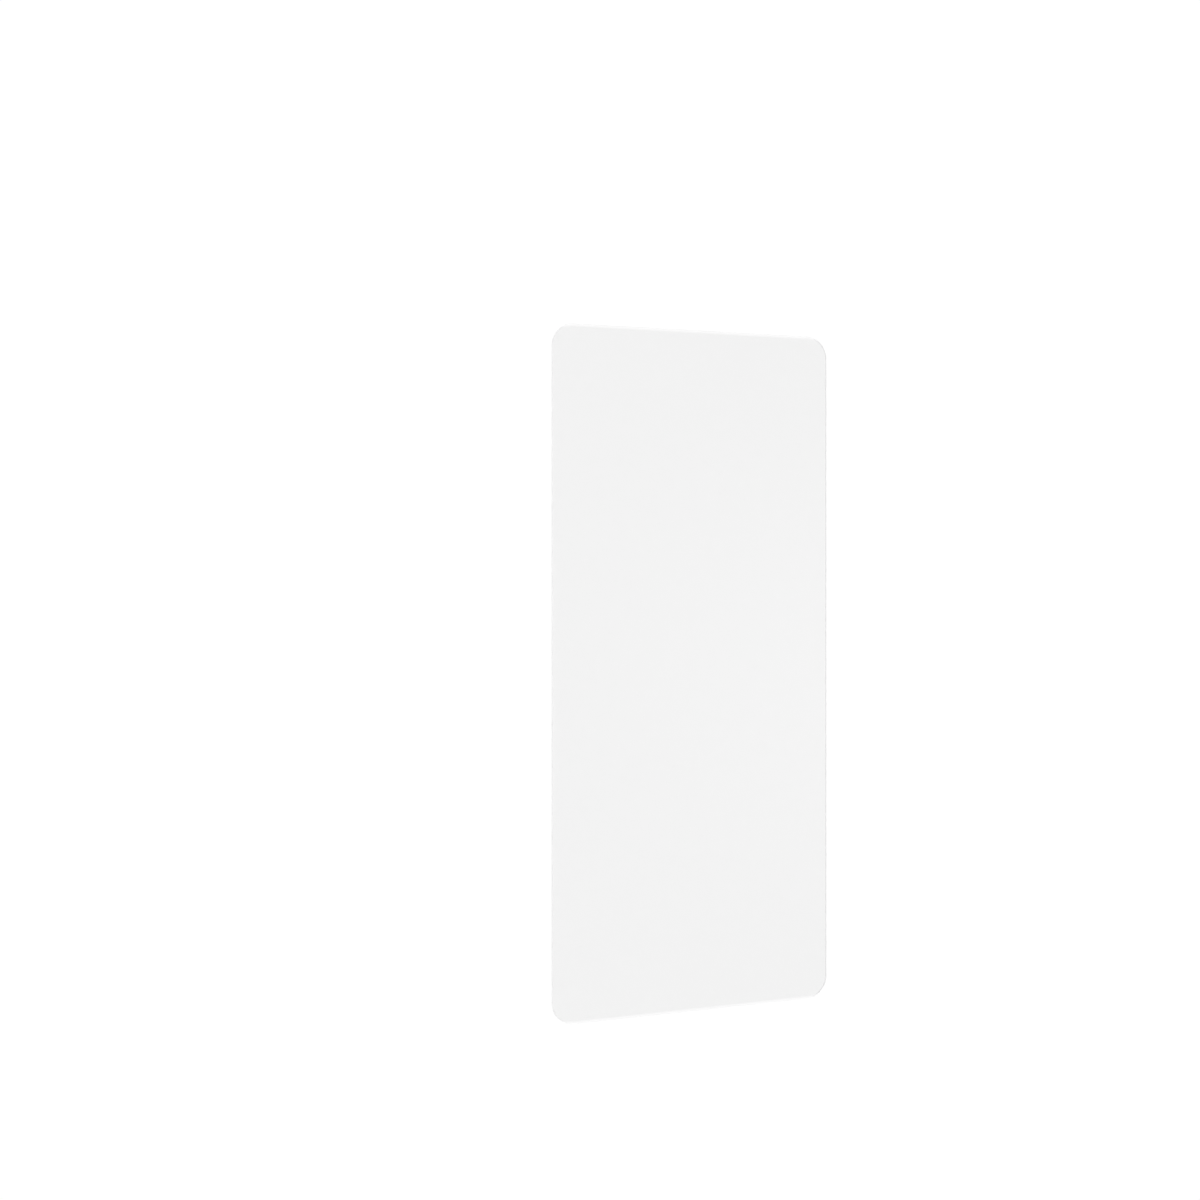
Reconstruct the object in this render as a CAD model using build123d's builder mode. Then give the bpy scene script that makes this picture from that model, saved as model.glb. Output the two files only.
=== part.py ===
from build123d import *
import os

# Phone screen protector: one sheet of toughened glass that lies on its sticking side, face up.
# The origin is the middle of the underside, the long side runs along Y and the face looks along +Z.

# Outline of the sheet, seen from above
sheet_width = 68.7
sheet_length = 155.0
corner_radius = 5.1

# Section through the edge of the sheet
glass_thickness = 0.33
rim_width = 1.0  # how far the ground curve reaches in from the edge
edge_wall = 0.05  # upright wall left between the curve and the chamfer
back_chamfer = 0.02  # break on the edge of the sticking side

# How far the grinding cut runs past the edge and above the face
grinding_clearance = 0.5

# The curve takes what the wall and the chamfer leave of the thickness
rim_drop = glass_thickness - edge_wall - back_chamfer

with BuildPart() as glass_sheet:
    # Blank: the sheet as it is scored and broken out of the pane
    with BuildSketch():
        RectangleRounded(sheet_width, sheet_length, corner_radius)
    extrude(amount=glass_thickness)

    # Curved rim: an arc that leaves the face tangent to it and ends at the top of the upright wall,
    # carried round the whole outline of the face. The section plane has X outwards and Y upwards.
    face_outline = glass_sheet.faces().sort_by(Axis.Z)[-1].outer_wire()
    forward = face_outline % 0
    outward = forward.cross(Vector(0, 0, 1))
    section = Plane(origin=face_outline @ 0, x_dir=outward, z_dir=-forward)
    with BuildSketch(section):
        with BuildLine():
            rim_curve = TangentArc((-rim_width, 0), (0, -rim_drop), tangent=(1, 0))
            Polyline(
                rim_curve @ 1,
                (grinding_clearance, -rim_drop),
                (grinding_clearance, grinding_clearance),
                (-rim_width, grinding_clearance),
                rim_curve @ 0,
            )
        make_face()
    sweep(path=face_outline, mode=Mode.SUBTRACT)

    # Chamfer round the sticking side
    chamfer(glass_sheet.edges().group_by(Axis.Z)[0], length=back_chamfer)

glass_sheet.part.label = "glass_sheet"

os.makedirs("parts", exist_ok=True)
export_step(glass_sheet.part, "parts/glass_sheet.step")
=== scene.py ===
# %% [markdown]
# # A phone screen protector of clear glass
# The object is one sheet of toughened glass, as long as a phone and a third of a millimetre thick. Its
# corners are round, and its upper edge is ground to a shallow curve so that a thumb slides over it.
# There is little to model and much to light: clear glass shows only what it lets through, what it
# mirrors and how its rim bends both. So this lesson makes the sheet exactly, then spends its care on
# the finish, on the light tent round the sheet and on the floor under it.

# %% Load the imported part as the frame
import math

import bpy
import numpy as np
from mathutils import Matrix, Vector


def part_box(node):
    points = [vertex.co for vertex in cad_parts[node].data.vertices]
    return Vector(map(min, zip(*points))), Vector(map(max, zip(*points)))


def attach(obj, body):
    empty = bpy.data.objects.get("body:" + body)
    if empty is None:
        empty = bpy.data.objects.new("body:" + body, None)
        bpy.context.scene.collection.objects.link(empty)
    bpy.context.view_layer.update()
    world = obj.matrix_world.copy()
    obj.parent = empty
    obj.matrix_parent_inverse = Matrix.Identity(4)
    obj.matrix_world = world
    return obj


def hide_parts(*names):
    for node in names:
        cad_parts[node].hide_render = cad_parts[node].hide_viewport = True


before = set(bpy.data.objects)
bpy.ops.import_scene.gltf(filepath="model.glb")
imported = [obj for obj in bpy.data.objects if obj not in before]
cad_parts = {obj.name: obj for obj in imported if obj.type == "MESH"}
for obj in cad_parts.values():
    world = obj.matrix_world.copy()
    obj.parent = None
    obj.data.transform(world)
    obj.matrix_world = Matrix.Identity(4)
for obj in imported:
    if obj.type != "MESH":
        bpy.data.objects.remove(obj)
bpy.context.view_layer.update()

MM = 0.001
low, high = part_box("glass_sheet")
width, length, thickness = high - low
print(f"frame: sheet {width / MM:.2f} x {length / MM:.2f} x {thickness / MM:.2f} mm")

# %% [markdown]
# ## The sheet: a section carried round an outline
# On the real object a wheel grinds the rim while the glass turns past it, so one section runs round the
# whole outline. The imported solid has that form, but in coarse steps, and a mirror-like rim shows each
# step. A Bevel modifier would make a round edge, though not this wide and shallow one. So the sheet is
# worked out afresh as a function of two parameters: one runs round the outline, and the other runs
# across the section, from the middle of the face, over the rim and the wall, to the middle of the back.

# %% Sizes of the section, in metres
corner_radius = 5.1 * MM
rim_width = 1.0 * MM
edge_wall = 0.05 * MM
back_chamfer = 0.02 * MM
rim_drop = thickness - edge_wall - back_chamfer
rim_radius = (rim_width**2 + rim_drop**2) / (2 * rim_drop)
print(f"rim: drops {rim_drop / MM:.2f} mm over {rim_width / MM:.2f} mm, radius {rim_radius / MM:.2f} mm")

# %% The outline: a rectangle swollen by a disc
CORNER_STEPS = 24
SIDE_STEPS = 12


def outline():
    """A rounded rectangle as a core point plus a radius along a normal.

    On a corner the core point stays and the normal turns a quarter turn; on a side the core point moves
    and the normal stays. Returns core x, core y, normal x and normal y at each step round the outline.
    """
    core_x = width / 2 - corner_radius
    core_y = length / 2 - corner_radius
    turn_and_run = np.tile([CORNER_STEPS, SIDE_STEPS], 4)
    stops = np.concatenate([[0], np.cumsum(turn_and_run)])
    step = np.arange(stops[-1])
    # The sides of the core that each stop is on, and the quarter turns of the normal there
    x = np.interp(step, stops, core_x * np.array([1, 1, -1, -1, -1, -1, 1, 1, 1]))
    y = np.interp(step, stops, core_y * np.array([1, 1, 1, 1, -1, -1, -1, -1, 1]))
    angle = np.interp(step, stops, np.pi / 2 * np.array([0, 1, 1, 2, 2, 3, 3, 4, 4]))
    return x, y, np.cos(angle), np.sin(angle)


print(f"outline: {len(outline()[0])} steps round four corners and four sides")

# %% The section: face, rim, wall, chamfer and back
RIM_STEPS = 20
BACK_STEPS = 10
CAP_STEPS = 5
HOLD = 0.12 * MM


def section():
    """Rows from the middle of the face to the middle of the back.

    Each row is a share of the outline's size, an inset from the edge, a height and a rim value. The rim
    is an arc that leaves the face level: height = thickness - radius + sqrt(radius^2 - run^2), where run
    is the distance outwards from where the face ends. The rim value goes from 0 there to 1 at the wall,
    and back to 0 on the flat back under the rim.
    """
    cap = np.linspace(0, 1, CAP_STEPS + 1)[1:]
    run = np.linspace(0, rim_width, RIM_STEPS + 1)
    arc = thickness - rim_radius + np.sqrt(rim_radius**2 - run**2)
    back = np.linspace(back_chamfer, rim_width, BACK_STEPS + 1)
    flat = np.full(CAP_STEPS, rim_width + HOLD)
    share = np.concatenate([cap, np.ones(len(run) + 1 + len(back)), cap[::-1]])
    inset = np.concatenate([flat, rim_width - run, [0], back, flat])
    height = np.concatenate([np.full(CAP_STEPS, thickness), arc, [back_chamfer], 0 * back, 0 * flat])
    rim = np.concatenate([0 * flat, run / rim_width, [1], 1 - back / rim_width, 0 * flat])
    return share, inset, height, rim


print(f"section: {len(section()[0])} rows from the middle of the face to the middle of the back")

# %% Carry the section round the outline
SHARP_EDGE = math.radians(20)


def sheet_mesh(name):
    """Grid of rows and columns: point = share * (core + (corner radius - inset) * normal), at the row's
    height. The first and last row close on one point each, in the middle of the face and of the back."""
    core_x, core_y, normal_x, normal_y = outline()
    share, inset, height, rim = section()
    reach = corner_radius - inset[:, None]
    rows, columns = len(share), len(core_x)
    grid = np.empty((rows, columns, 3))
    grid[..., 0] = share[:, None] * (core_x + reach * normal_x)
    grid[..., 1] = share[:, None] * (core_y + reach * normal_y)
    grid[..., 2] = height[:, None]
    points = np.concatenate([grid.reshape(-1, 3), [[0, 0, thickness], [0, 0, 0]]])

    index = np.arange(rows * columns).reshape(rows, columns)
    ahead = np.roll(index, -1, axis=1)
    quads = np.stack([index[:-1], index[1:], ahead[1:], ahead[:-1]], axis=-1).reshape(-1, 4)
    face_middle = np.full(columns, rows * columns)
    back_middle = face_middle + 1
    face_fan = np.stack([face_middle, index[0], ahead[0]], axis=-1)
    back_fan = np.stack([back_middle, ahead[-1], index[-1]], axis=-1)

    mesh = bpy.data.meshes.new(name)
    mesh.from_pydata(points.tolist(), [], quads.tolist() + face_fan.tolist() + back_fan.tolist())
    mesh.polygons.foreach_set("use_smooth", np.ones(len(mesh.polygons), dtype=bool))
    mesh.set_sharp_from_angle(angle=SHARP_EDGE)
    rim_value = mesh.attributes.new("rim", "FLOAT", "POINT")
    rim_value.data.foreach_set("value", np.concatenate([np.repeat(rim, columns), [0, 0]]))
    short_end = mesh.attributes.new("short_end", "FLOAT", "POINT")
    short_end.data.foreach_set("value", np.concatenate([np.tile(abs(normal_y), rows), [0, 0]]))
    mesh.update()
    return mesh


protector = bpy.data.objects.new("glass_protector", sheet_mesh("glass_protector"))
bpy.context.scene.collection.objects.link(protector)
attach(protector, "root")
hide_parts("glass_sheet")
print(f"sheet: {len(protector.data.vertices)} points, {len(protector.data.polygons)} faces")

# %% [markdown]
# ## Shader maths in plain Python
# A finish is a tree of nodes, and long formulas in nodes are hard to read. The small class below wraps
# an output, so that `1 - rim * rim` adds its Math nodes by itself. Every other node comes from one
# method, which takes the kind of node, its settings and what goes into its sockets. The helpers clamp
# and ramp work on node values and on numpy arrays alike, so one formula can be drawn and measured.


# %% Nodes as Python values
class Value:
    """A node's output that takes part in arithmetic: each operator adds one Math node to its tree."""

    def __init__(self, tree, socket):
        self.tree = tree
        self.socket = socket

    def node(self, kind, settings, sockets, output=0):
        """Adds a node: its settings first, then a value or a link for each named or numbered socket."""
        made = self.tree.nodes.new(kind)
        for name, setting in settings.items():
            setattr(made, name, setting)
        for name, given in sockets.items():
            socket = made.inputs[name]
            if isinstance(given, Value):
                self.tree.links.new(given.socket, socket)
            else:
                socket.default_value = given
        return Value(self.tree, made.outputs[output] if len(made.outputs) else None)

    def math(self, operation, *given, clamp=False):
        settings = {"operation": operation, "use_clamp": clamp}
        return self.node("ShaderNodeMath", settings, dict(enumerate(given)))

    def __add__(self, other):
        return self.math("ADD", self, other)

    def __sub__(self, other):
        return self.math("SUBTRACT", self, other)

    def __rsub__(self, other):
        return self.math("SUBTRACT", other, self)

    def __mul__(self, other):
        return self.math("MULTIPLY", self, other)

    def __truediv__(self, other):
        return self.math("DIVIDE", self, other)

    def __abs__(self):
        return self.math("ABSOLUTE", self)

    __radd__ = __add__
    __rmul__ = __mul__


print("values: +, -, *, / and abs add Math nodes")


# %% Helpers for trees and formulas
def empty_tree(owner):
    """Turns on an owner's nodes, clears them and gives a starting value to add nodes with."""
    owner.use_nodes = True
    owner.node_tree.nodes.clear()
    return Value(owner.node_tree, None)


def clamp(x):
    """Keeps x between 0 and 1."""
    return x.math("ADD", x, 0.0, clamp=True) if isinstance(x, Value) else np.clip(x, 0, 1)


def ramp(x, zero, full):
    """Goes from 0 where x is zero to 1 where x is full, with level ends: 3 t^2 - 2 t^3.

    It rises with x where full is more than zero, and falls where it is less.
    """
    t = clamp((x - zero) / (full - zero))
    return t * t * (3 - 2 * t)


print("ramp at a quarter of its way:", ramp(0.25, 0, 1))

# %% [markdown]
# ## The glass
# The sheet is clear, so the finish is a Principled shader that lets all light through, with the
# refraction of glass. A plain Glass shader would look the same from afar, but a real sheet isn't even.
# The coat on its face and the adhesive film below take some of the light, so the sheet is a faint grey.
# Towards the rims at the short ends, and all round just before the wall, the colour is painted lighter,
# up to white: a painted highlight that stands in for the bright reflections on the rim and lightens the
# shade at the very edge. Round the rest of the outline, just before the wall, the coat has dried in a
# narrow bead that mirrors more than uncoated glass. The oil-repelling coat lies in faint clouds, which
# go into the roughness. The curved rim is a little less polished than the face, and the narrow wall and
# chamfer below it are left matt, as the wheel ground them. The two values that the mesh carries, rim
# and short end, steer all this. Each pair of numbers below is where a ramp over one of them is 0 and
# where it is 1.

# %% Clear glass with a ground rim
COATED_TINT = (0.87, 0.87, 0.87, 1)
# The second tint is painted light: the white that the rims are painted towards at the short ends and
# just before the wall, a painted highlight.
PAINTED_LIGHT_TINT = (1.0, 1.0, 1.0, 1)
PAINTED_END_LIGHT = (0.28, 0.88)
SHORT_END = (0.8, 1.0)
PAINTED_EDGE_LIGHT = (0.86, 0.96)
BEAD_RISE = (0.68, 0.78)
BEAD_FALL = (0.94, 0.84)
BEAD_IOR = 1.9
FACE_ROUGHNESS = 0.01
CLOUD_ROUGHNESS = 0.02
RIM_ROUGHNESS = 0.02
WALL_ROUGHNESS = 0.9
WALL_START = (0.95, 0.99)
CLOUDS_PER_METRE = 60
CLOUD_DETAIL = 3.0
GLASS_IOR = 1.52
# A Mix node has sockets of the same name for each kind of data, so those for colours go by number.
MIX_FACTOR = 0
MIX_FROM = 6
MIX_TO = 7
MIX_RESULT = 2


def clear_glass():
    """Tint is painted lighter, up to white, at the short ends and before the wall: a painted highlight.

    The bead is a rise times a fall over the rim value; clouds, rim and wall add to the roughness.
    """
    material = bpy.data.materials.new("clear_glass")
    tree = empty_tree(material)
    place = tree.node("ShaderNodeTexCoord", {}, {}, "Object")
    rim = tree.node("ShaderNodeAttribute", {"attribute_name": "rim"}, {}, "Fac")
    short_end = tree.node("ShaderNodeAttribute", {"attribute_name": "short_end"}, {}, "Fac")
    clouds = tree.node(
        "ShaderNodeTexNoise", {}, {"Vector": place, "Scale": CLOUDS_PER_METRE, "Detail": CLOUD_DETAIL}
    )
    # Painted highlight: the tint lightens towards white over the rims at the short ends, and over the
    # outermost rim all round to offset the shade at the edge.
    end_light = clamp((rim - PAINTED_END_LIGHT[0]) / (PAINTED_END_LIGHT[1] - PAINTED_END_LIGHT[0]))
    at_end = ramp(short_end, *SHORT_END)
    painted_light = clamp(end_light * at_end + ramp(rim, *PAINTED_EDGE_LIGHT))
    tints = {MIX_FACTOR: painted_light, MIX_FROM: COATED_TINT, MIX_TO: PAINTED_LIGHT_TINT}
    tint = tree.node("ShaderNodeMix", {"data_type": "RGBA"}, tints, MIX_RESULT)
    bead = ramp(rim, *BEAD_RISE) * ramp(rim, *BEAD_FALL) * (1 - at_end)
    polished = FACE_ROUGHNESS + CLOUD_ROUGHNESS * clouds + RIM_ROUGHNESS * rim
    surface = tree.node("ShaderNodeBsdfPrincipled", {}, {
        "Base Color": tint,
        "Roughness": polished + WALL_ROUGHNESS * ramp(rim, *WALL_START),
        "IOR": GLASS_IOR,
        "Transmission Weight": 1.0,
        "Coat Weight": bead,
        "Coat IOR": BEAD_IOR,
    })
    tree.node("ShaderNodeOutputMaterial", {}, {"Surface": surface})
    return material


protector.data.materials.append(clear_glass())
print("glass: one material,", len(protector.data.materials[0].node_tree.nodes), "nodes")

# %% [markdown]
# ## The camera
# The sheet is pictured standing up, turned a little about its long side. Lying down, it gives the same
# picture to a camera that looks down on it from the left. The long sides come out parallel, so the
# camera isn't tipped along them, and a small lens shift sets the sheet's height in the frame instead.

# %% Place the camera
LENS = 50.0
SENSOR = 36.0
TURN = math.radians(21.581)
STAND = np.array([-159.51, 24.81, 345.32]) * MM
SHIFT_UP = -0.0319

camera_data = bpy.data.cameras.new("camera")
camera_data.lens = LENS
camera_data.sensor_width = SENSOR
camera_data.shift_y = SHIFT_UP
camera = bpy.data.objects.new("camera", camera_data)
camera.location = STAND
camera.rotation_euler = (0, -TURN, 0)
bpy.context.scene.collection.objects.link(camera)
bpy.context.scene.camera = camera
print(f"camera: {np.linalg.norm(STAND) / MM:.0f} mm from the middle of the sheet")

# %% Check the framing: where the sheet's corners fall in a picture of 1200 pixels
FRAME_PIXELS = 1200
right = np.array([math.cos(TURN), 0, math.sin(TURN)])
up = np.array([0, 1, 0])
ahead = np.array([math.sin(TURN), 0, -math.cos(TURN)])
wall_middle = back_chamfer + edge_wall / 2
signs = np.array([[-1, 1], [1, 1], [1, -1], [-1, -1]])
wall_corners = np.column_stack([signs * [width / 2, length / 2], np.full(len(signs), wall_middle)])
from_camera = wall_corners - STAND
pixels_per_slope = LENS / SENSOR * FRAME_PIXELS
column = FRAME_PIXELS / 2 + pixels_per_slope * (from_camera @ right) / (from_camera @ ahead)
row = FRAME_PIXELS * (0.5 + SHIFT_UP) - pixels_per_slope * (from_camera @ up) / (from_camera @ ahead)
print("corners at", [(round(float(c), 1), round(float(r), 1)) for c, r in zip(column, row)])

# %% [markdown]
# ## The light tent
# Glass shows what stands round it. Lamps would be hard patches in the mirror of the face, so the light
# is a tent: the world itself, with a brightness for each direction. Nearly all of it is white cloth,
# about twice as bright overhead as at the floor, which keeps the face calm from every side. In even
# light the rim would vanish, though, so the tent is open on a dark room low on the right. That draws a
# fine dark line along the right edge, and a lighter strip of cloth on that side sets it off. On the
# left, where the steep part of the rim keeps some light inside the glass, a bent card makes up for it.
# A faint glow high on the right gives the face a soft gradient. The formula is used twice: with nodes
# for the render, and with numpy to find out how much light reaches the floor. That should be about 1,
# so that a colour renders as written. The pairs of numbers are again the two ends of ramps, here over
# a direction's x, y or z, or over the cosine of its angle from where the face mirrors.

# %% The direction that the middle of the face mirrors to the camera
face_x, face_y, face_z = (STAND * [-1, -1, 1] / np.linalg.norm(STAND)).tolist()
print(f"the face mirrors ({face_x:.3f}, {face_y:.3f}, {face_z:.3f})")

# %% Brightness of the tent in each direction
CLOTH_LOW = 0.5
CLOTH_HIGH = 1.1
STRIP = 0.35
STRIP_SIDE = (0.65, 0.80)
DARK_ROOM = 0.05
OPENING_SIDE = (0.50, 0.65)
OPENING_HEIGHT = (0.50, 0.36)
LEFT_CARD = 0.75
LEFT_CARD_INNER = (0.68, 0.62)
LEFT_CARD_OUTER = (0.49, 0.525)
LEFT_CARD_ASIDE = (0.38, 0.26)
LEFT_CARD_SIDE = (0.05, -0.20)
GLOW = 0.36
GLOW_SIDE = (0.3, 0.6)
GLOW_HEIGHT = (0.3, 0.5)
GLOW_ASIDE = (0.2, 0.0)


def tent(x, y, z):
    """Cloth that brightens with height z, plus a strip, a card and a glow, with a dark opening in it.

    Strip, opening and glow are ramps over the direction's x, y and z, multiplied. The card follows a
    ring round the direction that the face mirrors: a ramp in and a ramp out over the cosine of the
    angle from there, times ramps over x and y.
    """
    cloth = CLOTH_LOW + (CLOTH_HIGH - CLOTH_LOW) * z + STRIP * ramp(x, *STRIP_SIDE)
    opening = ramp(x, *OPENING_SIDE) * ramp(z, *OPENING_HEIGHT)
    cosine = face_x * x + face_y * y + face_z * z
    aside = abs(y - face_y)
    ring = ramp(cosine, *LEFT_CARD_INNER) * ramp(cosine, *LEFT_CARD_OUTER)
    card = LEFT_CARD * ring * ramp(x, *LEFT_CARD_SIDE) * ramp(aside, *LEFT_CARD_ASIDE)
    glow = GLOW * ramp(x, *GLOW_SIDE) * ramp(z, *GLOW_HEIGHT) * ramp(aside, *GLOW_ASIDE)
    return cloth + (DARK_ROOM - cloth) * opening + card + glow


# %% Light on the floor: the mean of the tent over a disc under it
RINGS = 200
SPOKES = 400
radius = np.sqrt((np.arange(RINGS) + 0.5) / RINGS)[:, None]
bearing = (np.arange(SPOKES) + 0.5) * (2 * np.pi / SPOKES)
overhead = tent(radius * np.cos(bearing), radius * np.sin(bearing), np.sqrt(1 - radius**2))
floor_light = overhead.mean()
print(f"tent: {floor_light:.3f} reaches the floor")

# %% The world: the tent, and white where the camera looks past the floor
WHITE = 1.02
world = bpy.data.worlds.new("light_tent")
bpy.context.scene.world = world
tree = empty_tree(world)
towards = tree.node("ShaderNodeTexCoord", {}, {}, "Generated")
x = tree.node("ShaderNodeSeparateXYZ", {}, {"Vector": towards}, "X")
y = tree.node("ShaderNodeSeparateXYZ", {}, {"Vector": towards}, "Y")
z = tree.node("ShaderNodeSeparateXYZ", {}, {"Vector": towards}, "Z")
in_view = tree.node("ShaderNodeLightPath", {}, {}, "Is Camera Ray")
brightness = WHITE * in_view + (1 - in_view) * tent(x, y, z)
background = tree.node("ShaderNodeBackground", {}, {"Color": (1, 1, 1, 1), "Strength": brightness})
tree.node("ShaderNodeOutputWorld", {}, {"Surface": background})
print("world:", len(world.node_tree.nodes), "nodes")

# %% [markdown]
# ## The floor
# A pane on white paper shows as a faint grey. The floor is that paper: a plane a hair below the glass,
# so that the two never share a surface. It has to read as pure white, and a sheet this thin casts hardly
# any shadow, so most of its white is a glow, as on a light table, for rays from the camera, from mirrors
# and through glass. The rest is matt paper in the tent's light, and there the sheet's shadow stays.
# Cycles blurs glass for light that has already bounced, to save noise, and then loses nearly half of
# what should pass through a thin pane to the paper. Filter Glossy at 0 turns that off.

# %% White floor
FLOOR_GAP = 0.02 * MM
FLOOR_HALF = 3.0
PAPER = (0.05, 0.05, 0.05, 1)
PAPER_GLOW = WHITE - PAPER[0] * floor_light


def white_paper():
    """A matt surface plus a glow that camera, mirror and glass rays see."""
    material = bpy.data.materials.new("white_paper")
    tree = empty_tree(material)
    by_camera = tree.node("ShaderNodeLightPath", {}, {}, "Is Camera Ray")
    by_mirror = tree.node("ShaderNodeLightPath", {}, {}, "Is Glossy Ray")
    by_glass = tree.node("ShaderNodeLightPath", {}, {}, "Is Transmission Ray")
    matt = tree.node("ShaderNodeBsdfDiffuse", {}, {"Color": PAPER})
    glow = tree.node(
        "ShaderNodeEmission", {}, {"Strength": PAPER_GLOW * clamp(by_camera + by_mirror + by_glass)}
    )
    both = tree.node("ShaderNodeAddShader", {}, {0: matt, 1: glow})
    tree.node("ShaderNodeOutputMaterial", {}, {"Surface": both})
    return material


floor_mesh = bpy.data.meshes.new("floor")
corners = np.array([[-1, -1, 0], [1, -1, 0], [1, 1, 0], [-1, 1, 0]]) * FLOOR_HALF - [0, 0, FLOOR_GAP]
floor_mesh.from_pydata(corners.tolist(), [], [[0, 1, 2, 3]])
floor_mesh.materials.append(white_paper())
floor = bpy.data.objects.new("floor", floor_mesh)
bpy.context.scene.collection.objects.link(floor)
bpy.context.scene.cycles.blur_glossy = 0.0
print(f"floor: glow {PAPER_GLOW:.3f}, {FLOOR_GAP / MM} mm below the glass")

# %% Standard colours and the end
bpy.context.scene.view_settings.view_transform = "Standard"
